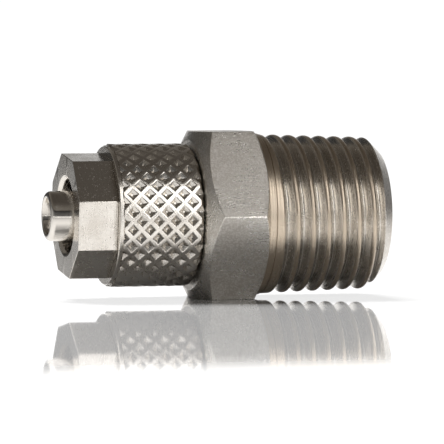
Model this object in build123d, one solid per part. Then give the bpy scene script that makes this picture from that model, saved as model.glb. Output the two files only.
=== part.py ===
from build123d import *
import math
import os

# Push-on tube fitting: a turned, nickel-plated brass body with a union nut on its neck.
# Millimetres, +Z up. The axis is X: the tapered pipe thread points to +X and the tube stem to -X.
# The origin is on the axis, in the hexagon's face on the side of the pipe thread.
# The fitting lies on one flat of its hexagon, so the floor is at z = -HEX_ACROSS_FLATS / 2.

# Tapered pipe thread, R 1/4
PIPE_GAUGE_DIAMETER = 13.157
PIPE_GAUGE_LENGTH = 6.0
PIPE_THREADS_PER_INCH = 19
PIPE_TAPER = 1 / 16
PIPE_FLANK_ANGLE = 27.5
PIPE_CREST_WIDTH = 0.42
PIPE_LENGTH = 11.0
PIPE_GROOVE_START = 1.27
PIPE_COLLAR_LENGTH = 0.65
PIPE_COLLAR_STEP = 0.05
PIPE_END_CHAMFER = 1.05
PIPE_THREAD_TURN = -48.0

# Hexagon between the two threads
HEX_ACROSS_FLATS = 14.0
HEX_LENGTH = 5.33
HEX_CHAMFER_ANGLE = 30.0
HEX_FACE_DIAMETER_PIPE_SIDE = 13.8
HEX_FACE_DIAMETER_NUT_SIDE = 12.6

# Neck that carries the nut, at the crests of its fine M10 x 1 thread
NECK_THREAD_DIAMETER = 9.8
NECK_LENGTH = 5.55
NECK_RELIEF_WIDTH = 1.1
NECK_RELIEF_DEPTH = 0.68
NECK_CHAMFER = 0.45

# Stem that the tube is pushed on to, and the flare that it is clamped on
STEM_DIAMETER = 4.2
STEM_LENGTH = 3.15
STEM_NOSE_RADIUS = 0.4
STEM_MOUTH_CHAMFER = 0.15
FLARE_DIAMETER = 6.6
FLARE_LENGTH = 3.0
FLARE_LAND = 0.5

# Passage through the body
STEM_BORE = 3.0
PORT_BORE = 7.0
PORT_DEPTH = 9.5
DRILL_POINT_ANGLE = 118.0
PORT_CHAMFER = 0.3

# Union nut
NUT_END_GAP = 0.09
NUT_THREAD_CLEARANCE = 0.07
NUT_WALL = 1.015
STEM_STANDS_OUT = 1.63
TUBE_DIAMETER = 6.0
TUBE_MOUTH_CLEARANCE = 0.1
TUBE_CLAMP_GAP = 0.9
MOUTH_COUNTERSINK = 0.27
OCTAGON_ACROSS_FLATS = 9.9
OCTAGON_LENGTH = 3.33
NUT_TURN = 30.8
NUT_REAR_CHAMFER = 0.3

# Diamond knurl on the nut: a net of ridges around sunken diamonds
KNURL_COUNT = 25
KNURL_AXIAL_PITCH = 1.45
KNURL_DEPTH = 0.33
KNURL_RIDGE_SHARE = 0.3
KNURL_TURN = 6.4
KNURL_RAISE = 0.17
KNURL_BAND = 0.34

# Run of a cutter past the face where it leaves the metal
OVERRUN = 0.3

# Stations along the axis
HEX_NUT_SIDE = -HEX_LENGTH
NECK_END = HEX_NUT_SIDE - NECK_LENGTH
FLARE_END = NECK_END - FLARE_LAND
FLARE_START = FLARE_END - FLARE_LENGTH
STEM_TIP = FLARE_START - STEM_LENGTH
NUT_REAR = HEX_NUT_SIDE - NUT_END_GAP
NUT_FRONT = STEM_TIP + STEM_STANDS_OUT
NUT_SHOULDER = NUT_FRONT + OCTAGON_LENGTH
KNURL_START = NUT_SHOULDER + KNURL_BAND

# Radii that follow from the driving sizes
STEM_RADIUS = STEM_DIAMETER / 2
FLARE_RADIUS = FLARE_DIAMETER / 2
NECK_RADIUS = NECK_THREAD_DIAMETER / 2
MOUTH_RADIUS = TUBE_DIAMETER / 2 + TUBE_MOUTH_CLEARANCE
NUT_BORE_RADIUS = NECK_RADIUS + NUT_THREAD_CLEARANCE
KNURL_RADIUS = NUT_BORE_RADIUS + NUT_WALL
BAND_RADIUS = KNURL_RADIUS - KNURL_RAISE
PIPE_END_RADIUS = (PIPE_GAUGE_DIAMETER - PIPE_GAUGE_LENGTH * PIPE_TAPER) / 2
PIPE_BASE_RADIUS = PIPE_END_RADIUS + PIPE_LENGTH * PIPE_TAPER / 2
PIPE_PITCH = 25.4 / PIPE_THREADS_PER_INCH


def tangent(degrees):
    return math.tan(math.radians(degrees))


def turned(*profile):
    """Solid turned about the X axis from a profile of (x, radius) points."""
    return revolve(make_face(Polyline(*profile, close=True)), Axis.X)


def rod(start, end, radius):
    return turned((start, 0), (start, radius), (end, radius), (end, 0))


def polygon_bar(start, end, across_flats, sides, turn=0):
    """Bar along X with flat sides; at no turn it has a corner towards +Y."""
    outline = RegularPolygon(across_flats / 2, sides, major_radius=False, rotation=turn)
    return extrude(Plane.YZ.offset(start) * outline, end - start)


def cone_rod(start, end, start_radius, taper):
    """Bar along X whose diameter shrinks by the taper over its length."""
    end_radius = start_radius - (end - start) * taper / 2
    return turned((start, 0), (start, start_radius), (end, end_radius), (end, 0))


def thread_groove(start, end, radius, cone_angle):
    """Right-hand V groove swept along a tapered helix, a little proud of the crests."""
    flank = tangent(PIPE_FLANK_ANGLE)
    depth = (PIPE_PITCH - PIPE_CREST_WIDTH) / 2 / flank
    proud = PIPE_CREST_WIDTH / 4 / flank
    mouth = (depth + proud) * flank
    helix = Helix(
        pitch=PIPE_PITCH,
        height=end - start,
        radius=radius,
        center=(start, 0, 0),
        direction=(1, 0, 0),
        cone_angle=-cone_angle,
    )
    begin = helix @ 0
    section = Plane(begin, x_dir=(0, begin.Y, begin.Z), z_dir=helix % 0)
    outline = Polyline((-depth, 0), (proud, mouth), (proud, -mouth), close=True)
    return sweep(section * make_face(outline), path=helix, is_frenet=True)


def pipe_thread():
    """Tapered male thread, cut on a longer bar and then faced and chamfered to length."""
    taper_angle = math.degrees(math.atan(PIPE_TAPER / 2))
    groove_radius = PIPE_BASE_RADIUS - PIPE_GROOVE_START * PIPE_TAPER / 2
    groove = thread_groove(PIPE_GROOVE_START, PIPE_LENGTH + PIPE_PITCH, groove_radius, taper_angle)
    bar = cone_rod(0, PIPE_LENGTH + 2 * PIPE_PITCH, PIPE_BASE_RADIUS, PIPE_TAPER) - groove
    envelope = turned(
        (0, 0),
        (0, PIPE_BASE_RADIUS + OVERRUN),
        (PIPE_LENGTH - PIPE_END_CHAMFER, PIPE_BASE_RADIUS + OVERRUN),
        (PIPE_LENGTH - PIPE_END_CHAMFER, PIPE_END_RADIUS),
        (PIPE_LENGTH, PIPE_END_RADIUS - PIPE_END_CHAMFER),
        (PIPE_LENGTH, 0),
    )
    thread = (bar & envelope).rotate(Axis.X, PIPE_THREAD_TURN)
    return thread + rod(0, PIPE_COLLAR_LENGTH, PIPE_BASE_RADIUS + PIPE_COLLAR_STEP)


def hexagon():
    """Hexagon with a cone turned on each end."""
    bar = polygon_bar(HEX_NUT_SIDE, 0, HEX_ACROSS_FLATS, 6)
    slope = tangent(HEX_CHAMFER_ANGLE)
    corner = HEX_ACROSS_FLATS / 2 / math.cos(math.pi / 6) + OVERRUN
    pipe_face = HEX_FACE_DIAMETER_PIPE_SIDE / 2
    nut_face = HEX_FACE_DIAMETER_NUT_SIDE / 2
    envelope = turned(
        (HEX_NUT_SIDE, 0),
        (HEX_NUT_SIDE, nut_face),
        (HEX_NUT_SIDE + (corner - nut_face) * slope, corner),
        (-(corner - pipe_face) * slope, corner),
        (0, pipe_face),
        (0, 0),
    )
    return bar & envelope


def neck():
    """Neck for the nut, with a relief beside the hexagon and a chamfer at its end."""
    relief_start = HEX_NUT_SIDE - NECK_RELIEF_WIDTH
    relief_radius = NECK_RADIUS - NECK_RELIEF_DEPTH
    return turned(
        (HEX_NUT_SIDE, 0),
        (HEX_NUT_SIDE, relief_radius),
        (relief_start, relief_radius),
        (relief_start - NECK_RELIEF_DEPTH, NECK_RADIUS),
        (NECK_END + NECK_CHAMFER, NECK_RADIUS),
        (NECK_END, NECK_RADIUS - NECK_CHAMFER),
        (NECK_END, 0),
    )


def stem():
    """Stem with a rounded nose, clamping flare and short land in front of the neck."""
    nose_turns = [math.radians(angle) for angle in (90, 45, 0)]
    nose = [
        (
            STEM_TIP + STEM_NOSE_RADIUS * (1 - math.cos(turn)),
            STEM_RADIUS - STEM_NOSE_RADIUS * (1 - math.sin(turn)),
        )
        for turn in nose_turns
    ]
    return turned(
        (NECK_END, 0),
        (NECK_END, FLARE_RADIUS),
        (FLARE_END, FLARE_RADIUS),
        (FLARE_START, STEM_RADIUS),
        *nose,
        (STEM_TIP, 0),
    )


def passage():
    """Stem bore, drilled port and the chamfers at both mouths."""
    stem_bore = STEM_BORE / 2
    port_bore = PORT_BORE / 2
    port_end = PIPE_LENGTH - PORT_DEPTH
    point_end = port_end - (port_bore - stem_bore) / tangent(DRILL_POINT_ANGLE / 2)
    return turned(
        (STEM_TIP, 0),
        (STEM_TIP, stem_bore + STEM_MOUTH_CHAMFER),
        (STEM_TIP + STEM_MOUTH_CHAMFER, stem_bore),
        (point_end, stem_bore),
        (port_end, port_bore),
        (PIPE_LENGTH - PORT_CHAMFER, port_bore),
        (PIPE_LENGTH, port_bore + PORT_CHAMFER),
        (PIPE_LENGTH, 0),
    )


def make_body():
    return pipe_thread() + hexagon() + neck() + stem() - passage()


def nut_hollow():
    """Mouth for the tube, clamping cone along the flare and bore over the neck's thread."""
    flare_slope = (FLARE_RADIUS - STEM_RADIUS) / FLARE_LENGTH
    clamp_rise = TUBE_CLAMP_GAP / math.cos(math.atan(flare_slope))
    clamp_start = FLARE_START + (MOUTH_RADIUS - STEM_RADIUS - clamp_rise) / flare_slope
    return turned(
        (NUT_FRONT, 0),
        (NUT_FRONT, MOUTH_RADIUS + MOUTH_COUNTERSINK),
        (NUT_FRONT + MOUTH_COUNTERSINK, MOUTH_RADIUS),
        (clamp_start, MOUTH_RADIUS),
        (FLARE_END, FLARE_RADIUS + clamp_rise),
        (FLARE_END, NUT_BORE_RADIUS),
        (NUT_REAR, NUT_BORE_RADIUS),
        (NUT_REAR, 0),
    )


def knurl_point(row, half_column, radius):
    """Place on the knurl's lattice: rows run along the axis, half columns around it."""
    angle = math.pi * half_column / KNURL_COUNT
    x = KNURL_START + row * KNURL_AXIAL_PITCH / 2
    return Vector(x, radius * math.sin(angle), radius * math.cos(angle))


def ridge_crossings(row, half_column, last_row):
    """Crossings of the ridges around one pit; the first and last row have half of them."""
    ring = [(row, half_column - 1), (row + 1, half_column), (row, half_column + 1), (row - 1, half_column)]
    if row == last_row:
        ring = ring[2:] + ring[:1]
    return [knurl_point(r, c, KNURL_RADIUS) for r, c in ring if 0 <= r <= last_row]


def flat_face(*points):
    return make_face(Polyline(*points, close=True))


def knurled_blank():
    """Drum whose whole skin is a net of crossing ridges around diamond-shaped pits."""
    last_row = math.ceil((NUT_REAR - KNURL_START) / (KNURL_AXIAL_PITCH / 2))
    faces = []
    for row in range(last_row + 1):
        end_outline = []
        for half_column in range(row % 2, 2 * KNURL_COUNT, 2):
            corners = ridge_crossings(row, half_column, last_row)
            middle = knurl_point(row, half_column, KNURL_RADIUS)
            pit = knurl_point(row, half_column, KNURL_RADIUS - KNURL_DEPTH)
            brim = [corner + (middle - corner) * KNURL_RIDGE_SHARE for corner in corners]
            is_whole = len(corners) == 4
            for index in range(len(corners) if is_whole else len(corners) - 1):
                after = (index + 1) % len(corners)
                faces.append(flat_face(corners[index], corners[after], brim[after], brim[index]))
                faces.append(flat_face(brim[index], brim[after], pit))
            if not is_whole:
                side = [corners[0], brim[0], pit, brim[-1]]
                end_outline += side if row == 0 else [corners[-1], brim[-1], pit, brim[0]]
        if end_outline:
            faces.append(flat_face(*end_outline))
    return Solid(Shell(faces))


def knurled_sleeve():
    """Round part of the nut with its plain band, knurl and rear chamfer."""
    band = rod(NUT_SHOULDER, KNURL_START, BAND_RADIUS)
    envelope = turned(
        (KNURL_START - OVERRUN, 0),
        (KNURL_START - OVERRUN, KNURL_RADIUS + OVERRUN),
        (NUT_REAR - NUT_REAR_CHAMFER - OVERRUN, KNURL_RADIUS + OVERRUN),
        (NUT_REAR, KNURL_RADIUS - NUT_REAR_CHAMFER),
        (NUT_REAR, 0),
    )
    return band + (knurled_blank().rotate(Axis.X, KNURL_TURN) & envelope)


def make_nut():
    octagon = polygon_bar(NUT_FRONT, NUT_SHOULDER, OCTAGON_ACROSS_FLATS, 8, NUT_TURN)
    octagon = octagon & rod(NUT_FRONT, NUT_SHOULDER, BAND_RADIUS)
    return octagon + knurled_sleeve() - nut_hollow()


os.makedirs("parts", exist_ok=True)
export_step(make_body(), "parts/body.step")
export_step(make_nut(), "parts/nut.step")
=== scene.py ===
# %% [markdown]
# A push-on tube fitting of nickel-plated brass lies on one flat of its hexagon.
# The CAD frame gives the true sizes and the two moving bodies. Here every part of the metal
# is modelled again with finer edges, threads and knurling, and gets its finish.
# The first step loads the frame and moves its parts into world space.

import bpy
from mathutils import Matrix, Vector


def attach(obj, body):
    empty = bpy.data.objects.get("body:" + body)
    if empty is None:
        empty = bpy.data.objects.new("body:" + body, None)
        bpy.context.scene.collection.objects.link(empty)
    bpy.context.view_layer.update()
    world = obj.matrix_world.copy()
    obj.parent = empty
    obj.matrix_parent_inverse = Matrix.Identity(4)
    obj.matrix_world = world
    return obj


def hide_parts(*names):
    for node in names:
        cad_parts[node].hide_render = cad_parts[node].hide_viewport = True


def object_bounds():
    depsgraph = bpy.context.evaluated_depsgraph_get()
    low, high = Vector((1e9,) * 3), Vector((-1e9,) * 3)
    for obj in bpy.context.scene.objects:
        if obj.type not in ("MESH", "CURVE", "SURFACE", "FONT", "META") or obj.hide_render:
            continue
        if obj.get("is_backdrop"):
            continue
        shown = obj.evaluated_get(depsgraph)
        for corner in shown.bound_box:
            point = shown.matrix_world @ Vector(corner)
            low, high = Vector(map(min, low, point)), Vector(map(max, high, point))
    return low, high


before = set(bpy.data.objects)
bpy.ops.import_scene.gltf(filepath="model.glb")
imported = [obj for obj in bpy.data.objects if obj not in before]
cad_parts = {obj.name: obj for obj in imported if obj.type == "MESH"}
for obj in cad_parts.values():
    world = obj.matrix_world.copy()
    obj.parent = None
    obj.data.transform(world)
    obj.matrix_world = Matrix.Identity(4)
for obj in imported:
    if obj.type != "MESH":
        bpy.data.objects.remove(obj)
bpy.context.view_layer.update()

# %% [markdown]
# Shapes this small are easier to read in millimetres, so each piece is modelled in them and
# scaled to metres at the end. The x axis runs along the fitting: x = 0 is the hexagon's face
# beside the pipe thread, the pipe thread points to +x and the tube stem to -x.
# A point on a turned part is given by x, a radius and an angle that goes from +y towards +z.

# %% Units and the main stations along the axis
import math

import bmesh
import bpy
from mathutils import Matrix, Vector

MILLIMETRE = 0.001
ALONG = Vector((1, 0, 0))
HEX_START, HEX_END = -5.33, 0.0
NECK_START = -10.88
NUT_FRONT, NUT_SHOULDER, NUT_REAR = -15.90, -12.57, -5.42
STEM_TIP, PIPE_END = -17.53, 11.0
FLOOR = -7.0
BORE = 1.5
EDGE_WIDTH = 0.06
print("length", round(PIPE_END - STEM_TIP, 2), "mm")

# %% [markdown]
# Most of the fitting was cut on a lathe. The same thing is done here: a profile of x and
# radius is drawn as a chain of edges and spun about the x axis. A few small helpers read and
# set the radius and the angle of a vertex, which keeps the later cells short.

# %% Helpers for turned shapes


def radius_of(vert):
    return math.hypot(vert.co.y, vert.co.z)


def angle_of(vert):
    return math.atan2(vert.co.z, vert.co.y)


def place(vert, x, radius):
    """Move a vertex to a station and radius and keep its angle."""
    scale = radius / radius_of(vert)
    vert.co = Vector((x, vert.co.y * scale, vert.co.z * scale))


def profile_edges(bm, profile, closed):
    verts = [bm.verts.new((x, radius, 0)) for x, radius in profile]
    pairs = list(zip(verts, verts[1:]))
    if closed:
        pairs.append((verts[-1], verts[0]))
    return verts + [bm.edges.new(pair) for pair in pairs]


def turned_ring(profile, steps=128):
    """Closed ring-shaped solid turned about the x axis."""
    bm = bmesh.new()
    chain = profile_edges(bm, profile, closed=True)
    bmesh.ops.spin(
        bm, geom=chain, cent=(0, 0, 0), axis=ALONG, angle=math.tau, steps=steps, use_merge=True
    )
    return bm


sample = turned_ring([(0, 1), (1, 1), (1, 2), (0, 2)])
print("a ring of four points gives", len(sample.faces), "faces")
sample.free()

# %% [markdown]
# No edge on a real turned part is perfectly sharp. A narrow bevel along each corner catches a
# line of light, and that line is what makes metal look solid. The helper bevels only the
# edges that are circles around the axis or corners of the hexagon, so threads are left alone.

# %% Helpers for edges and finished pieces


def is_ring_edge(edge):
    a, b = edge.verts
    return abs(a.co.x - b.co.x) < 1e-4 and abs(radius_of(a) - radius_of(b)) < 1e-4


def soften(bm, edges, width, segments=3):
    bmesh.ops.bevel(
        bm,
        geom=edges,
        offset=width,
        offset_type="OFFSET",
        segments=segments,
        profile=0.5,
        affect="EDGES",
        clamp_overlap=True,
        material=-1,
    )


def corners(bm, degrees, choose):
    limit = math.radians(degrees)
    return [
        edge
        for edge in bm.edges
        if len(edge.link_faces) == 2 and edge.calc_face_angle(0) > limit and choose(edge)
    ]


def finish_piece(bm, name, body, material, smooth_degrees=32):
    """Close the mesh, scale it to metres and hang it on its body."""
    bmesh.ops.remove_doubles(bm, verts=bm.verts, dist=2e-4)
    bmesh.ops.recalc_face_normals(bm, faces=bm.faces)
    bmesh.ops.scale(bm, vec=(MILLIMETRE,) * 3, verts=bm.verts)
    open_edges = sum(1 for edge in bm.edges if len(edge.link_faces) != 2)
    mesh = bpy.data.meshes.new(name)
    bm.to_mesh(mesh)
    bm.free()
    mesh.shade_smooth()
    mesh.set_sharp_from_angle(angle=math.radians(smooth_degrees))
    piece = bpy.data.objects.new(name, mesh)
    bpy.context.scene.collection.objects.link(piece)
    piece.modifiers.new("even shading", "WEIGHTED_NORMAL").keep_sharp = True
    mesh.materials.append(material)
    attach(piece, body)
    print(name, "faces", len(mesh.polygons), "open edges", open_edges)
    return piece


# %% [markdown]
# The whole fitting is brass with a thin coat of nickel. Nickel is a warm grey metal, so the
# base colour is a light grey with a little yellow in it and Metallic is 1. What tells one
# surface from the next is how it was cut. That is built from a few node groups which put out
# heights and masks, and each material uses them with its own values.
# The first group is for marks left by a lathe tool: fine lines around the axis. They depend
# only on x, with a slow wander so that they don't look ruled.

# %% Helpers for node groups and the turning marks


def new_group(name, inputs, outputs):
    group = bpy.data.node_groups.new(name, "ShaderNodeTree")
    for label, kind, value in inputs:
        socket = group.interface.new_socket(name=label, in_out="INPUT", socket_type=kind)
        if value is not None:
            socket.default_value = value
    for label, kind in outputs:
        group.interface.new_socket(name=label, in_out="OUTPUT", socket_type=kind)
    return group, Nodes(group)


class Nodes:
    """Short way to add nodes to a tree and to link or set their sockets."""

    def __init__(self, tree):
        self.tree = tree

    def add(self, kind, **settings):
        node = self.tree.nodes.new(kind if kind.startswith("NodeGroup") else "ShaderNode" + kind)
        sockets = settings.pop("sockets", {})
        for key, value in settings.items():
            setattr(node, key, value)
        for key, value in sockets.items():
            self.feed(node.inputs[key], value)
        return node

    def feed(self, socket, value):
        if isinstance(value, bpy.types.NodeSocket):
            self.tree.links.new(value, socket)
        else:
            socket.default_value = value

    def math(self, operation, *values, clamp=False):
        node = self.add("Math", operation=operation, use_clamp=clamp)
        for socket, value in zip(node.inputs, values):
            self.feed(socket, value)
        return node.outputs[0]

    def noise(self, vector, scale, detail=2.0, rough=0.5, **settings):
        values = {"Vector": vector, "Scale": scale, "Detail": detail, "Roughness": rough}
        return self.add("TexNoise", sockets=values, **settings).outputs["Fac"]

    def stretch(self, vector, scale):
        node = self.add("VectorMath", operation="MULTIPLY", sockets={0: vector, 1: scale})
        return node.outputs[0]

    def steps(self, value, low, high):
        """0 below low, 1 above high and smooth between them."""
        sockets = {"Value": value, "From Min": low, "From Max": high}
        node = self.add("MapRange", interpolation_type="SMOOTHSTEP", sockets=sockets)
        return node.outputs["Result"]

    def blend(self, factor, first, second):
        node = self.add("Mix", data_type="RGBA", sockets={"Factor": factor})
        self.feed(node.inputs[6], first)
        self.feed(node.inputs[7], second)
        return node.outputs[2]


def blank_material(name):
    material = bpy.data.materials.new(name)
    material.use_nodes = True
    material.node_tree.nodes.clear()
    return material, Nodes(material.node_tree)


VALUE, VECTOR, COLOUR = "NodeSocketFloat", "NodeSocketVector", "NodeSocketColor"
WANDER_LINES = 60.0

turning_marks, n = new_group(
    "Turning marks",
    [("Position", VECTOR, None), ("Lines per metre", VALUE, 9000.0), ("Wander", VALUE, 0.02)],
    [("Height", VALUE), ("Mask", VALUE)],
)
inside = n.add("NodeGroupInput")
position, lines, wander = inside.outputs[:3]
drift = n.noise(position, 180.0, 1.0)
x = n.add("SeparateXYZ", sockets={0: position}).outputs[0]
wandered = n.math("MULTIPLY", drift, n.math("MULTIPLY", wander, WANDER_LINES))
shifted = n.math("ADD", n.math("MULTIPLY", x, lines), wandered)
values = {"W": shifted, "Scale": 1.0, "Detail": 3.0, "Roughness": 0.7}
fine = n.add("TexNoise", noise_dimensions="1D", sockets=values).outputs["Fac"]
outside = n.add("NodeGroupOutput")
n.feed(outside.inputs["Height"], fine)
n.feed(outside.inputs["Mask"], n.steps(fine, 0.35, 0.68))
print("group", turning_marks.name, "has", len(turning_marks.nodes), "nodes")

# %% [markdown]
# The hexagon is drawn bar: its flats were pulled through a die and keep long faint lines along
# the bar and a fine speckle where the plating grew on a slightly rough skin. Lines come from
# noise that is squeezed hard across the bar and hardly changes along it. Speckle takes the cells
# of a Voronoi pattern and picks some of them. Scratches are short streaks in a few patches.
# The grain and the scratches are real marks. The materials also paint the picked cells and the
# streaks lighter, and that is a painted glint.

# %% Drawn lines, speckle and scratches
drawn_lines, n = new_group(
    "Drawn lines",
    [("Position", VECTOR, None), ("Scale", VALUE, 5200.0), ("Stretch", VALUE, 0.03)],
    [("Height", VALUE), ("Mask", VALUE)],
)
inside = n.add("NodeGroupInput")
position, scale, squeeze = inside.outputs[:3]
factors = n.add("CombineXYZ", sockets={0: squeeze, 1: 1.0, 2: 1.0}).outputs[0]
lines = n.noise(n.stretch(position, factors), scale, 3.0, 0.6)
outside = n.add("NodeGroupOutput")
n.feed(outside.inputs["Height"], lines)
n.feed(outside.inputs["Mask"], n.steps(lines, 0.4, 0.7))

speckle, n = new_group(
    "Speckle",
    [("Position", VECTOR, None), ("Grain size", VALUE, 0.00012), ("Amount", VALUE, 0.5)],
    [("Height", VALUE), ("Mask", VALUE)],
)
inside = n.add("NodeGroupInput")
position, grain, amount = inside.outputs[:3]
scale = n.math("DIVIDE", 1.0, grain)
values = {"Vector": position, "Scale": scale, "Randomness": 1.0}
grains = n.add("TexVoronoi", feature="F1", sockets=values).outputs["Color"]
bright = n.add("SeparateColor", sockets={0: grains}).outputs[0]
cloud = n.noise(position, n.math("MULTIPLY", scale, 0.8), 3.0, 0.7)
outside = n.add("NodeGroupOutput")
n.feed(outside.inputs["Height"], cloud)
threshold = n.math("SUBTRACT", 1.0, n.math("MULTIPLY", amount, 0.5))
n.feed(outside.inputs["Mask"], n.math("GREATER_THAN", bright, threshold))

scratches, n = new_group(
    "Scratches",
    [
        ("Position", VECTOR, None),
        ("Scale", VALUE, 900.0),
        ("Stretch", VALUE, 0.08),
        ("Rarity", VALUE, 0.72),
    ],
    [("Height", VALUE), ("Mask", VALUE)],
)
inside = n.add("NodeGroupInput")
position, scale, squeeze, rarity = inside.outputs[:4]
factors = n.add("CombineXYZ", sockets={0: squeeze, 1: 1.0, 2: 1.0}).outputs[0]
streaks = n.noise(n.stretch(position, factors), scale, 2.0, 0.5)
patches = n.noise(position, 420.0, 1.0)
mark = n.steps(streaks, rarity, n.math("ADD", rarity, 0.04))
mask = n.math("MULTIPLY", mark, n.steps(patches, 0.42, 0.6))
outside = n.add("NodeGroupOutput")
n.feed(outside.inputs["Height"], mask)
n.feed(outside.inputs["Mask"], mask)
print("groups", drawn_lines.name, speckle.name, scratches.name)

# %% [markdown]
# A slow cloud of slightly browner and duller metal keeps large surfaces from looking like one
# flat colour, as fingers and storage leave them. It goes into every material.

# %% Tarnish
tarnish, n = new_group(
    "Tarnish",
    [
        ("Position", VECTOR, None),
        ("Clean", COLOUR, None),
        ("Dull", COLOUR, None),
        ("Amount", VALUE, 0.5),
    ],
    [("Color", COLOUR), ("Mask", VALUE)],
)
inside = n.add("NodeGroupInput")
position, clean, dull, amount = inside.outputs[:4]
cloud = n.noise(position, 330.0, 4.0, 0.6)
mask = n.math("MULTIPLY", n.steps(cloud, 0.4, 0.66), amount)
outside = n.add("NodeGroupOutput")
n.feed(outside.inputs["Color"], n.blend(mask, clean, dull))
n.feed(outside.inputs["Mask"], mask)
print("group", tarnish.name)

# %% [markdown]
# Each material is the same recipe with its own marks: colour from the tarnish group, a
# roughness that rises where the marks are, and one bump from the added heights. Some marks also
# turn the colour towards a near white where their mask is set: a painted glint on real grain and
# scratches. The bump's distance is 0.005 to 0.022 mm. The pipe thread's crests are a little more
# tan and duller than its roots, so a value stored on that mesh, "worn", mixes in the tint.

# %% The nickel recipe
NICKEL = (0.66, 0.625, 0.575, 1)
NICKEL_DULL = (0.50, 0.455, 0.40, 1)
# The near white that marks are painted towards: a painted glint, not a colour of the metal.
PAINTED_GLINT = (0.93, 0.90, 0.86, 1)
CREST_TAN = (0.50, 0.42, 0.33, 1)
TARNISH_ROUGHENS, WEAR_ROUGHENS = 0.12, 0.08


def nickel(name, rough, marks, depth, dull=0.5, worn_tint=None):
    """marks lists (group, socket values, share of the height, change of roughness, share of painted
    glint).
    """
    material, n = blank_material(name)
    position = n.add("TexCoord").outputs["Object"]
    sockets = {"Position": position, "Clean": NICKEL, "Dull": NICKEL_DULL, "Amount": dull}
    base = n.add("Group", node_tree=tarnish, sockets=sockets)
    colour = base.outputs["Color"]
    roughness = n.math("MULTIPLY_ADD", base.outputs["Mask"], TARNISH_ROUGHENS, rough)
    height = 0.0
    for group, values, share, roughening, light in marks:
        mark = n.add("Group", node_tree=group, sockets={"Position": position, **values})
        height = n.math("MULTIPLY_ADD", mark.outputs["Height"], share, height)
        roughness = n.math("MULTIPLY_ADD", mark.outputs["Mask"], roughening, roughness)
        # Marks with a light share are painted lighter here: a painted glint on real grain and
        # scratches.
        if light:
            painted_glint_share = n.math("MULTIPLY", mark.outputs["Mask"], light)
            colour = n.blend(painted_glint_share, colour, PAINTED_GLINT)
    if worn_tint:
        worn = n.add("Attribute", attribute_name="worn").outputs["Fac"]
        colour = n.blend(worn, colour, worn_tint)
        roughness = n.math("MULTIPLY_ADD", worn, WEAR_ROUGHENS, roughness)
    sockets = {"Height": height, "Strength": 1.0, "Distance": depth * MILLIMETRE}
    bump = n.add("Bump", sockets=sockets)
    sockets = {"Base Color": colour, "Metallic": 1.0, "Roughness": roughness}
    shader = n.add("BsdfPrincipled", sockets=sockets)
    n.feed(shader.inputs["Normal"], bump.outputs["Normal"])
    output = n.add("OutputMaterial")
    n.feed(output.inputs["Surface"], shader.outputs[0])
    return material


# The last value of each mark is its share of painted glint.
turned_nickel = nickel(
    "turned nickel",
    rough=0.16,
    marks=[
        (turning_marks, {"Lines per metre": 11000.0}, 1.0, 0.05, 0.0),
        (speckle, {"Amount": 0.1}, 0.15, 0.1, 0.1),
    ],
    depth=0.010,
)
thread_nickel = nickel(
    "threaded nickel",
    rough=0.17,
    marks=[
        (turning_marks, {"Lines per metre": 14000.0}, 1.0, 0.08, 0.0),
        (speckle, {"Amount": 0.05}, 0.1, 0.05, 0.2),
    ],
    depth=0.016,
    worn_tint=CREST_TAN,
)
drawn_nickel = nickel(
    "drawn nickel",
    rough=0.27,
    marks=[
        (drawn_lines, {}, 0.15, 0.05, 0.0),
        (speckle, {"Amount": 0.8, "Grain size": 0.0001}, 1.0, -0.02, 0.4),
        (scratches, {}, -0.15, 0.0, 0.9),
    ],
    depth=0.022,
)
knurl_nickel = nickel(
    "knurled nickel", rough=0.2, marks=[(speckle, {"Amount": 0.2}, 0.6, 0.05, 0.1)], depth=0.012
)
stem_nickel = nickel(
    "polished stem",
    rough=0.12,
    marks=[(turning_marks, {"Lines per metre": 7000.0}, 0.5, 0.02, 0.0)],
    depth=0.005,
)
print("materials", [m.name for m in bpy.data.materials if "nickel" in m.name or "stem" in m.name])

# %% [markdown]
# A screw thread is a spin that also moves along the axis. One pitch of the thread's outline is
# spun once round with a step along x, so that its end lands beside its start. That turn is then
# copied along the axis and the doubled edges are merged, which is much quicker than spinning
# every turn. The outline is a crest and a root of a given rounding with straight flanks between.

# %% Helper for a helical skin


def groove_depth(offset, pitch, crest, flank_degrees, root_radius, crest_radius):
    """Depth of a V groove at a distance from its middle, with root and crest edges rounded."""
    flank = math.radians(flank_degrees)
    away = abs(offset)
    sharp_depth = (pitch - crest) / 2 / math.tan(flank)
    depth = (pitch / 2 - crest / 2 - away) / math.tan(flank)
    if away < root_radius * math.cos(flank):
        middle = sharp_depth - root_radius / math.sin(flank)
        return middle + math.sqrt(root_radius**2 - away**2)
    reach = crest_radius * math.tan((math.pi / 2 - flank) / 2)
    past_edge = pitch / 2 - crest / 2 + reach - away
    if past_edge <= 0:
        return 0.0
    if past_edge < crest_radius * math.cos(flank):
        return crest_radius - math.sqrt(crest_radius**2 - past_edge**2)
    return depth


def helical_skin(bm, pitch, first_middle, turns, radius, depth_at, points=24, steps=120):
    """Strip of one pitch spun along a helix; first_middle is the groove's x at angle 0."""
    profile = []
    for index in range(points + 1):
        offset = (index / points - 0.5) * pitch
        profile.append((first_middle + offset, radius - depth_at(offset)))
    chain = profile_edges(bm, profile, closed=False)
    bmesh.ops.spin(
        bm,
        geom=chain,
        cent=(0, 0, 0),
        axis=ALONG,
        dvec=ALONG * pitch / steps,
        angle=math.tau,
        steps=steps,
    )
    turn = bm.verts[:] + bm.edges[:] + bm.faces[:]
    for _ in range(turns - 1):
        turn = bmesh.ops.duplicate(bm, geom=turn)["geom"]
        verts = [item for item in turn if isinstance(item, bmesh.types.BMVert)]
        bmesh.ops.translate(bm, vec=ALONG * pitch, verts=verts)
    bmesh.ops.remove_doubles(bm, verts=bm.verts, dist=1e-4)


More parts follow.
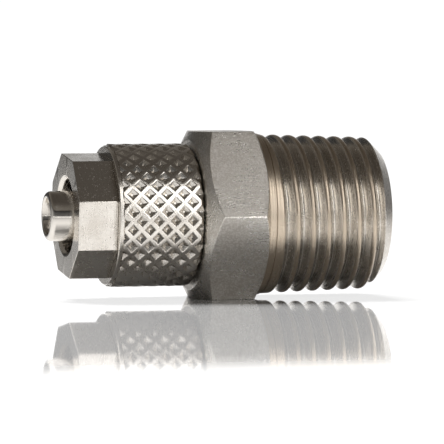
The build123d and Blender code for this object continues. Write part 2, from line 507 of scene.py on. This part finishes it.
def cut_at(bm, x, keep):
    """Cut everything at a station and keep the side 'above' or 'below'."""
    geometry = bm.verts[:] + bm.edges[:] + bm.faces[:]
    bmesh.ops.bisect_plane(
        bm,
        geom=geometry,
        dist=1e-5,
        plane_co=(x, 0, 0),
        plane_no=ALONG,
        clear_inner=keep == "above",
        clear_outer=keep == "below",
    )


def rim_between(bm, low, high):
    """Open edges whose station lies between two values of x."""
    return [edge for edge in bm.edges if edge.is_boundary and low < edge.verts[0].co.x < high]


def open_edges_of(made):
    return [item for item in made if isinstance(item, bmesh.types.BMEdge) and item.is_boundary]


def grow_ring(bm, rim, *stations):
    """Extrude a rim through (x, radius) stations and return the last rim."""
    for x, radius in stations:
        rim = open_edges_of(bmesh.ops.extrude_edge_only(bm, edges=rim)["geom"])
        for vert in {vert for edge in rim for vert in edge.verts}:
            place(vert, x, radius)
    return rim


print("groove 1 mm wide is", round(groove_depth(0, 1.0, 0.0, 30, 0.1, 0.1), 3), "mm deep")

# %% [markdown]
# The tapered pipe thread is 19 threads to the inch on a cone that narrows by one sixteenth.
# The skin is spun as a cylinder first. Then each vertex is drawn in for the taper, the groove
# is faded out at its start, beside the collar, and the end is drawn in to a chamfer. Rings grown
# from the two rims close the skin: one down the port and one over the collar.

# %% The pipe thread, its collar and the port
PIPE_PITCH = 25.4 / 19
PIPE_TAPER = 1 / 32
GAUGE_DIAMETER, GAUGE_LENGTH = 13.157, 6.0
PIPE_RADIUS = (GAUGE_DIAMETER - GAUGE_LENGTH / 16) / 2 + PIPE_END * PIPE_TAPER
PIPE_CHAMFER = 1.05
GROOVE_START = 1.27
GROOVE_START_ANGLE = math.radians(42)
RUN_IN = math.radians(50)
COLLAR, COLLAR_RISE, COLLAR_GROOVE = 0.65, 0.05, 0.1
PORT_RADIUS, PORT_BEVEL, PORT_BOTTOM, DRILL_POINT = 3.5, 0.3, 1.5, 0.298
WEAR, WEAR_DEPTH = 1.3, 0.1


def pipe_groove(offset):
    return groove_depth(
        offset, PIPE_PITCH, crest=0.36, flank_degrees=27.5, root_radius=0.12, crest_radius=0.26
    )


def turn_reached(vert):
    """How far round the helix, in radians past its start, the nearest groove is."""
    along = (vert.co.x - GROOVE_START) / PIPE_PITCH * math.tau
    past = angle_of(vert) - GROOVE_START_ANGLE
    return past + math.tau * round((along - past) / math.tau)


pipe = bmesh.new()
first_middle = GROOVE_START - PIPE_PITCH * (GROOVE_START_ANGLE / math.tau + 2)
helical_skin(pipe, PIPE_PITCH, first_middle, turns=12, radius=PIPE_RADIUS, depth_at=pipe_groove)
cut_at(pipe, COLLAR, "above")
cut_at(pipe, PIPE_END, "below")
for vert in pipe.verts:
    x, depth = vert.co.x, PIPE_RADIUS - radius_of(vert)
    depth *= min(1.0, max(0.0, turn_reached(vert) / RUN_IN))
    chamfered = PIPE_RADIUS - PIPE_TAPER * PIPE_END - PIPE_CHAMFER + PIPE_END - x
    place(vert, x, min(PIPE_RADIUS - PIPE_TAPER * x - depth, chamfered))
worn = pipe.verts.layers.float.new("worn")
for vert in pipe.verts:
    below_crest = PIPE_RADIUS - PIPE_TAPER * vert.co.x - radius_of(vert)
    vert[worn] = min(1.0, max(0.0, WEAR - below_crest / WEAR_DEPTH))
print("pipe thread skin has", len(pipe.faces), "faces")
bore_side = grow_ring(
    pipe,
    rim_between(pipe, 5, PIPE_END + 1),
    (PIPE_END, PORT_RADIUS + PORT_BEVEL),
    (PIPE_END - PORT_BEVEL, PORT_RADIUS),
    (PORT_BOTTOM, PORT_RADIUS),
    (DRILL_POINT, BORE),
    (HEX_END, BORE),
    (HEX_END, 2 * BORE),
)
face_side = grow_ring(
    pipe,
    rim_between(pipe, 0.4, 5),
    (COLLAR - 0.02, PIPE_RADIUS - COLLAR_GROOVE),
    (COLLAR - 0.06, PIPE_RADIUS - COLLAR_GROOVE),
    (COLLAR - 0.08, PIPE_RADIUS + 0.02),
    (COLLAR - 0.11, PIPE_RADIUS + COLLAR_RISE),
    (HEX_END, PIPE_RADIUS + COLLAR_RISE),
    (HEX_END, 5.0),
)
bmesh.ops.bridge_loops(pipe, edges=bore_side + face_side)


def in_port(edge):
    vert = edge.verts[0]
    return is_ring_edge(edge) and vert.co.x > 0.1 and radius_of(vert) < 5.8


soften(pipe, corners(pipe, 25, in_port), EDGE_WIDTH)
pipe_thread = finish_piece(pipe, "pipe_thread", "body", thread_nickel, 40)
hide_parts("body")

# %% [markdown]
# A nut or hexagon has flat sides, and a cone turned on each end cuts its corners off in curves.
# Instead of cutting, the curves are placed exactly: a circle of many points is pushed out to
# the hexagon, and where the cone meets a point follows from that point's radius alone.

# %% Helper for flat-sided collars


def across(vert_angle, flat_radius, sides, first_corner):
    """Radius of a regular polygon at an angle."""
    sector = math.tau / sides
    off_middle = (vert_angle - first_corner) % sector - sector / 2
    return flat_radius / math.cos(off_middle)


def flat_sided(sides, flat_radius, first_corner, start, end, faces, slope, inner, per_side=14):
    """Ring with flat sides whose ends are cut by cones that begin at the radii of its faces."""
    start_face, end_face = faces
    bm = bmesh.new()
    upright = Matrix(((0, 0, 1), (1, 0, 0), (0, 1, 0))).to_4x4()
    turn = Matrix.Rotation(first_corner, 4, "X") @ upright
    bmesh.ops.create_circle(
        bm, segments=sides * per_side, radius=1, cap_ends=False, matrix=turn
    )
    for vert in bm.verts:
        radius = across(angle_of(vert), flat_radius, sides, first_corner)
        place(vert, start + max(0.0, radius - start_face) * slope, radius)
    rim = bm.edges[:]
    made = bmesh.ops.extrude_edge_only(bm, edges=rim)["geom"]
    far_rim = [edge for edge in open_edges_of(made) if edge not in rim]
    for vert in {vert for edge in far_rim for vert in edge.verts}:
        radius = radius_of(vert)
        place(vert, end - max(0.0, radius - end_face) * slope, radius)
    if start_face < flat_radius:
        rim = grow_ring(bm, rim, (start, start_face))
        far_rim = grow_ring(bm, far_rim, (end, end_face))
    rim = grow_ring(bm, rim, *inner)
    bmesh.ops.bridge_loops(bm, edges=rim + far_rim)
    return bm


HEX_FLAT = 7.0
HEX_FACES = 6.3, 6.9
HEX_SLOPE = math.tan(math.radians(30))
passage = [(HEX_START, BORE), (HEX_END, BORE)]
hexagon = flat_sided(6, HEX_FLAT, 0.0, HEX_START, HEX_END, HEX_FACES, HEX_SLOPE, passage)
outer = corners(hexagon, 20, lambda edge: min(radius_of(vert) for vert in edge.verts) > 6)
soften(hexagon, outer, EDGE_WIDTH)
finish_piece(hexagon, "hexagon", "body", drawn_nickel, 50)

# %% [markdown]
# The neck carries the nut on a fine thread of 1 mm pitch. It is hidden while the nut is on and
# bare when the nut is off. A relief beside the hexagon lets the thread tool run out.

# %% The neck
NECK_RADIUS = 4.9
NECK_LEAD = 0.45
RELIEF_RADIUS, RELIEF_END = 4.22, -6.43
NECK_MIDDLE = -9.0
FINE_PITCH, FINE_FLANK = 1.0, 30
FINE_POINTS, FINE_STEPS = 16, 96


def neck_groove(offset):
    return groove_depth(
        offset, FINE_PITCH, crest=0.2, flank_degrees=FINE_FLANK, root_radius=0.1, crest_radius=0.08
    )


neck = bmesh.new()
helical_skin(
    neck,
    FINE_PITCH,
    first_middle=NECK_START - 2,
    turns=8,
    radius=NECK_RADIUS,
    depth_at=neck_groove,
    points=FINE_POINTS,
    steps=FINE_STEPS,
)
cut_at(neck, NECK_START, "above")
cut_at(neck, RELIEF_END, "below")
for vert in neck.verts:
    x = vert.co.x
    lead = min(NECK_RADIUS - NECK_LEAD + x - NECK_START, RELIEF_RADIUS + RELIEF_END - x)
    place(vert, x, min(radius_of(vert), lead))
low = grow_ring(
    neck,
    rim_between(neck, STEM_TIP, NECK_MIDDLE),
    (NECK_START, BORE),
    (HEX_START, BORE),
    (HEX_START, 2.5),
)
high = grow_ring(neck, rim_between(neck, NECK_MIDDLE, -6), (HEX_START, RELIEF_RADIUS))
bmesh.ops.bridge_loops(neck, edges=low + high)
finish_piece(neck, "neck", "body", turned_nickel, 40)

# %% [markdown]
# The stem is what the plastic tube is pushed on to. Its nose is rounded so that the tube
# starts easily, and behind it a cone widens to the flare that the nut clamps the tube on.

# %% The stem
STEM_RADIUS, NOSE_RADIUS = 2.1, 0.4
FLARE_START, FLARE_END, FLARE_RADIUS = -14.38, -11.38, 3.3
nose = []
for degrees in range(0, 91, 15):
    along, outward = math.cos(math.radians(degrees)), math.sin(math.radians(degrees))
    nose.append((STEM_TIP + NOSE_RADIUS * (1 - along), STEM_RADIUS - NOSE_RADIUS * (1 - outward)))
stem_profile = [
    (STEM_TIP + 0.15, BORE),
    (STEM_TIP + 0.04, BORE + 0.06),
    (STEM_TIP, BORE + 0.14),
    *nose,
    (FLARE_START, STEM_RADIUS),
    (FLARE_END - 0.07, FLARE_RADIUS - 0.04),
    (FLARE_END, FLARE_RADIUS),
    (NECK_START, FLARE_RADIUS),
    (NECK_START, BORE),
]
finish_piece(turned_ring(stem_profile), "stem", "body", stem_nickel, 50)

# %% [markdown]
# The front of the nut is an octagon for the spanner, with a round mouth for the tube. No cones
# cut its ends, so the radii given for its faces lie beyond its corners.

# %% The nut's octagon
OCTAGON_FLAT = 4.95
NUT_FIRST_CORNER = math.radians(180 - 59.22)
UNCUT = 9.0, 9.0
MOUTH_RADIUS, MOUTH_BEVEL, MOUTH_END = 3.1, 0.27, -13.98
CONE_AT_SHOULDER, CONE_END_RADIUS = 3.68, 4.26
mouth = [
    (NUT_FRONT, MOUTH_RADIUS + MOUTH_BEVEL),
    (NUT_FRONT + MOUTH_BEVEL, MOUTH_RADIUS),
    (MOUTH_END, MOUTH_RADIUS),
    (NUT_SHOULDER, CONE_AT_SHOULDER),
]
octagon = flat_sided(
    8, OCTAGON_FLAT, NUT_FIRST_CORNER, NUT_FRONT, NUT_SHOULDER, UNCUT, 0.5, mouth, per_side=10
)


def off_shoulder(edge):
    return edge.verts[0].co.x < NUT_SHOULDER - 0.1 or not is_ring_edge(edge)


soften(octagon, corners(octagon, 20, off_shoulder), 0.05)
finish_piece(octagon, "nut_octagon", "nut", turned_nickel, 50)

# %% [markdown]
# The nut's grip is a diamond knurl pressed in by a wheel: a net of narrow ridges at 45 degrees
# around sunken diamonds. On a flat sheet that is simply a square grid turned by 45 degrees.
# Insetting every square leaves the ridges standing between them, a second inset that also
# sinks makes the sloping sides of the pit, and a bevel rounds the ridges' edges.

# %% The knurl as a flat sheet
KNURL_RADIUS, BAND_RADIUS = 5.985, 5.81
KNURL_COUNT, KNURL_ROWS_APART, KNURL_START = 25, 1.45, -12.23
KNURL_FIRST = math.radians(96.4)
RIDGE_HALF, RIDGE_ROUNDING, PIT_WALL, PIT_DEPTH = 0.15, 0.06, 0.3, 0.3
SHEET_MIDDLE = KNURL_START + KNURL_ROWS_APART * 2.5
SPARE_CELLS = 5

sleeve = bmesh.new()
cells = 2 * (KNURL_COUNT // 2 + SPARE_CELLS)
bmesh.ops.create_grid(sleeve, x_segments=cells, y_segments=cells, size=cells / 2)
eighth_turn = Matrix.Rotation(math.radians(45), 3, "Z")
bmesh.ops.rotate(sleeve, cent=(0, 0, 0), matrix=eighth_turn, verts=sleeve.verts)
arc_pitch = math.tau * KNURL_RADIUS / KNURL_COUNT
across_cell = math.sqrt(2)
cell_scale = (KNURL_ROWS_APART / across_cell, arc_pitch / across_cell, 1)
bmesh.ops.scale(sleeve, vec=cell_scale, verts=sleeve.verts)
bmesh.ops.translate(sleeve, vec=(SHEET_MIDDLE, 0, 0), verts=sleeve.verts)
pits = sleeve.faces[:]
bmesh.ops.inset_individual(
    sleeve, faces=pits, thickness=RIDGE_HALF, depth=0, use_even_offset=True
)
brims = list(dict.fromkeys(edge for face in pits for edge in face.edges))
bmesh.ops.inset_individual(
    sleeve, faces=pits, thickness=PIT_WALL, depth=-PIT_DEPTH, use_even_offset=True
)
soften(sleeve, brims, RIDGE_ROUNDING, 3)
print("sheet of", cells, "by", cells, "cells,", len(sleeve.faces), "faces")

# %% [markdown]
# The sheet is trimmed to the nut's width and to one turn, then wrapped round the nut. Its outer
# edge beside the hexagon is drawn in to a small chamfer while it is wrapped.

# %% Trim and wrap the sheet
REAR_CHAMFER = 0.3
half_turn = math.pi * KNURL_RADIUS
trims = (
    ((KNURL_START, 0, 0), (-1, 0, 0)),
    ((NUT_REAR, 0, 0), (1, 0, 0)),
    ((0, -half_turn, 0), (0, -1, 0)),
    ((0, half_turn, 0), (0, 1, 0)),
)
for point, outward in trims:
    geometry = sleeve.verts[:] + sleeve.edges[:] + sleeve.faces[:]
    bmesh.ops.bisect_plane(
        sleeve, geom=geometry, dist=1e-5, plane_co=point, plane_no=outward, clear_outer=True
    )
for vert in sleeve.verts:
    x, y, z = vert.co
    angle = KNURL_FIRST + y / KNURL_RADIUS
    radius = min(KNURL_RADIUS + z, KNURL_RADIUS - REAR_CHAMFER + (NUT_REAR - x))
    vert.co = Vector((x, radius * math.cos(angle), radius * math.sin(angle)))
bmesh.ops.remove_doubles(sleeve, verts=sleeve.verts, dist=1e-3)
print("sleeve has", len(sleeve.faces), "faces")

# %% [markdown]
# Rings grown from the rims make the plain band, the shoulder and the inner cone. The fine
# thread inside is a helical skin of its own, and bridges join its two ends to the sleeve.

# %% The band, the cone and the thread inside
NUT_MIDDLE = -9.0
THREAD_BORE, THREAD_LEAD = 4.97, 0.35
grow_ring(
    sleeve,
    rim_between(sleeve, NUT_FRONT, NUT_MIDDLE),
    (KNURL_START, BAND_RADIUS),
    (NUT_SHOULDER + EDGE_WIDTH, BAND_RADIUS),
    (NUT_SHOULDER, BAND_RADIUS - EDGE_WIDTH),
    (NUT_SHOULDER, CONE_AT_SHOULDER),
    (FLARE_END, CONE_END_RADIUS),
    (FLARE_END, 4.6),
)
grow_ring(sleeve, rim_between(sleeve, NUT_MIDDLE, HEX_END), (NUT_REAR, 5.5))


def nut_groove(offset):
    return -groove_depth(
        offset, FINE_PITCH, crest=0.6, flank_degrees=FINE_FLANK, root_radius=0.05, crest_radius=0.05
    )


thread = bmesh.new()
helical_skin(
    thread,
    FINE_PITCH,
    first_middle=-13.0,
    turns=9,
    radius=THREAD_BORE,
    depth_at=nut_groove,
    points=FINE_POINTS,
    steps=FINE_STEPS,
)
cut_at(thread, FLARE_END, "above")
cut_at(thread, NUT_REAR, "below")
for vert in thread.verts:
    lead = THREAD_BORE + max(0.0, THREAD_LEAD - (NUT_REAR - vert.co.x))
    place(vert, vert.co.x, max(radius_of(vert), lead))
thread_mesh = bpy.data.meshes.new("nut thread")
thread.to_mesh(thread_mesh)
thread.free()
sleeve.from_mesh(thread_mesh)
bpy.data.meshes.remove(thread_mesh)
for low, high in ((NUT_FRONT, NUT_MIDDLE), (NUT_MIDDLE, HEX_END)):
    bmesh.ops.bridge_loops(sleeve, edges=rim_between(sleeve, low, high))
knurled = finish_piece(sleeve, "nut_knurl", "nut", knurl_nickel, 30)
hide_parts("nut")

# %% [markdown]
# The studio: a pale floor that is glossy under the part and turns matt further out, and a
# round glowing wall like a light tent without a roof. The glossy part is a darker grey than the
# matt part: painted shade on the floor around the fitting, which the metal's lower faces reflect.
# Metal shows what stands around it, so the wall's brightness by direction draws the bands on
# the fitting. Above it the room is dark.
# The stage is already in metres, so nothing here is scaled but the height of the floor.

# %% The floor
WALL_RADIUS, WALL_HEIGHT = 0.6, 0.3
FLOOR_HEIGHT = FLOOR * MILLIMETRE
GLOSSY_TO, MATT_FROM = 0.072, 0.115
# The glossy grey is darker than the matt grey: painted shade on the floor around the fitting.
PAINTED_SHADE_GREY, MATT_GREY = (0.45, 0.45, 0.45, 1), (0.9, 0.9, 0.9, 1)


def stage_piece(name, bm, material):
    bmesh.ops.recalc_face_normals(bm, faces=bm.faces)
    mesh = bpy.data.meshes.new(name)
    bm.to_mesh(mesh)
    bm.free()
    piece = bpy.data.objects.new(name, mesh)
    bpy.context.scene.collection.objects.link(piece)
    mesh.materials.append(material)
    piece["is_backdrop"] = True
    return piece


floor_material, n = blank_material("pale floor")
position = n.add("TexCoord").outputs["Object"]
in_front = n.math("MULTIPLY", n.add("SeparateXYZ", sockets={0: position}).outputs[1], -1.0)
matt_share = n.steps(in_front, GLOSSY_TO, MATT_FROM)
# The glossy floor's darker grey is painted shade.
glossy = n.add("BsdfPrincipled", sockets={"Base Color": PAINTED_SHADE_GREY, "Roughness": 0.03})
matt = n.add("BsdfDiffuse", sockets={"Color": MATT_GREY})
mixed = n.add("MixShader", sockets={0: matt_share, 1: glossy.outputs[0], 2: matt.outputs[0]})
n.feed(n.add("OutputMaterial").inputs["Surface"], mixed.outputs[0])

floor = bmesh.new()
bmesh.ops.create_circle(floor, segments=96, radius=WALL_RADIUS + 0.01, cap_ends=True)
bmesh.ops.translate(floor, vec=(0, 0, FLOOR_HEIGHT), verts=floor.verts)
stage_piece("floor", floor, floor_material)
print("floor at", FLOOR, "mm")

# %% [markdown]
# The wall glows by itself. One ramp gives its brightness by bearing: bright behind the fitting
# on the right, half bright on the left and dim in front. A second ramp dims it towards the top.

# %% The wall
WALL_STRENGTH = 1.05
WALL_BY_BEARING = [
    (-180, 0.12), (-130, 0.2), (-100, 0.5), (-65, 0.4), (-45, 0.1), (-6, 0.07),
    (5, 1.0), (35, 1.0), (60, 0.25), (100, 0.12), (150, 0.12),
]
WALL_BY_HEIGHT = [(0.25, 1.0), (0.6, 0.7), (0.85, 0.12)]


def ramp(n, value, stops):
    node = n.add("ValToRGB", sockets={"Fac": value})
    elements = node.color_ramp.elements
    elements.remove(elements[1])
    elements[0].position = stops[0][0]
    for place_at, level in stops:
        element = elements[0] if place_at == stops[0][0] else elements.new(place_at)
        element.color = (level, level, level, 1)
    return node.outputs["Color"]


def turn_at(degrees):
    """Share of the full turn at a bearing from +y towards +x."""
    return degrees / 360 + 0.5


wall_material, n = blank_material("tent wall")
x, y, z = n.add("SeparateXYZ", sockets={0: n.add("TexCoord").outputs["Object"]}).outputs[:3]
turn_share = n.math("MULTIPLY_ADD", n.math("ARCTAN2", x, y), 1 / math.tau, 0.5)
around = ramp(n, turn_share, [(turn_at(degrees), level) for degrees, level in WALL_BY_BEARING])
level = ramp(n, n.math("DIVIDE", z, WALL_HEIGHT), WALL_BY_HEIGHT)
glow = n.add("VectorMath", operation="MULTIPLY", sockets={0: around, 1: level}).outputs[0]
emission = n.add("Emission", sockets={"Color": glow, "Strength": WALL_STRENGTH})
n.feed(n.add("OutputMaterial").inputs["Surface"], emission.outputs[0])

wall = bmesh.new()
bmesh.ops.create_circle(wall, segments=96, radius=WALL_RADIUS, cap_ends=False)
bmesh.ops.translate(wall, vec=(0, 0, FLOOR_HEIGHT), verts=wall.verts)
risen = bmesh.ops.extrude_edge_only(wall, edges=wall.edges[:])["geom"]
top = [item for item in risen if isinstance(item, bmesh.types.BMVert)]
bmesh.ops.translate(wall, vec=(0, 0, WALL_HEIGHT), verts=top)
stage_piece("wall", wall, wall_material)
print("wall", WALL_HEIGHT, "m high")

# %% [markdown]
# A large soft lamp above and behind lights the floor evenly. It is kept out of reflections,
# because the metal should show the dark room above it. A softbox stands in front: it is the
# bright band along the threads, and the camera itself doesn't see it.

# %% Lamps
LAMP_WATTS, SOFTBOX_LEVEL = 12.5, 2.8

lamp = bpy.data.lights.new("soft lamp", "AREA")
lamp.shape = "DISK"
lamp.size = 0.3
lamp.energy = LAMP_WATTS
lamp_object = bpy.data.objects.new("soft lamp", lamp)
lamp_object.location = (-0.05, 0.3, 0.5)
lamp_object.rotation_euler = (math.radians(-31), 0, 0)
lamp_object.visible_glossy = False
lamp_object.visible_camera = False
bpy.context.scene.collection.objects.link(lamp_object)

softbox = bpy.data.lights.new("softbox", "AREA")
softbox.shape = "RECTANGLE"
softbox.size, softbox.size_y = 0.11, 0.165
softbox.energy = SOFTBOX_LEVEL * math.pi * softbox.size * softbox.size_y
softbox_object = bpy.data.objects.new("softbox", softbox)
softbox_object.location = (0.081, -0.15, 0.0895)
softbox_object.rotation_euler = (math.radians(90), 0, 0)
softbox_object.visible_camera = False
bpy.context.scene.collection.objects.link(softbox_object)
print("lamp", lamp.energy, "W, softbox", round(softbox.energy, 3), "W")

# %% [markdown]
# The room above the wall is a dim warm grey that gets darker overhead.

# %% The room
ROOM_LOW, ROOM_HIGH = (0.2, 0.185, 0.165, 1), (0.09, 0.08, 0.07, 1)
world = bpy.data.worlds.new("dark room")
bpy.context.scene.world = world
world.use_nodes = True
world.node_tree.nodes.clear()
n = Nodes(world.node_tree)
upward = n.add("SeparateXYZ", sockets={0: n.add("TexCoord").outputs["Generated"]}).outputs[2]
sky = n.blend(n.steps(upward, 0.5, 0.95), ROOM_LOW, ROOM_HIGH)
background = n.add("Background", sockets={"Color": sky, "Strength": 1.0})
n.feed(n.add("OutputWorld").inputs["Surface"], background.outputs[0])
print("world", world.name)

# %% [markdown]
# The camera stands low, a little to the left of the front, and far away behind a long lens, so
# the fitting hardly narrows with distance. Its axes are built from a bearing and a height.

# %% Camera
BEARING, HEIGHT_ANGLE, ROLL = (math.radians(degrees) for degrees in (15.2404, 2.0587, -0.1293))
DISTANCE = 387.317
TARGET = Vector((-2.3515, 0, -0.6603))
SENSOR_WIDTH, FRAME_PIXELS, FOCAL_PIXELS = 36.0, 444, 4605.7

forward = Vector((
    math.sin(BEARING) * math.cos(HEIGHT_ANGLE),
    math.cos(BEARING) * math.cos(HEIGHT_ANGLE),
    -math.sin(HEIGHT_ANGLE),
))
level_right = forward.cross(Vector((0, 0, 1))).normalized()
level_up = level_right.cross(forward)
right = level_right * math.cos(ROLL) + level_up * math.sin(ROLL)
up = level_up * math.cos(ROLL) - level_right * math.sin(ROLL)
camera_data = bpy.data.cameras.new("camera")
camera_data.sensor_width = SENSOR_WIDTH
camera_data.lens = FOCAL_PIXELS * SENSOR_WIDTH / FRAME_PIXELS
camera_data.clip_start = 0.01
camera_data.clip_end = 10
camera = bpy.data.objects.new("camera", camera_data)
axes = Matrix((right, up, -forward)).transposed().to_4x4()
camera.matrix_world = Matrix.Translation((TARGET - forward * DISTANCE) * MILLIMETRE) @ axes
bpy.context.scene.collection.objects.link(camera)
bpy.context.scene.camera = camera
bpy.context.scene.view_settings.view_transform = "Standard"
print("lens", round(camera_data.lens, 1), "mm")

# %% The box of the new pieces
low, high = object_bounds()
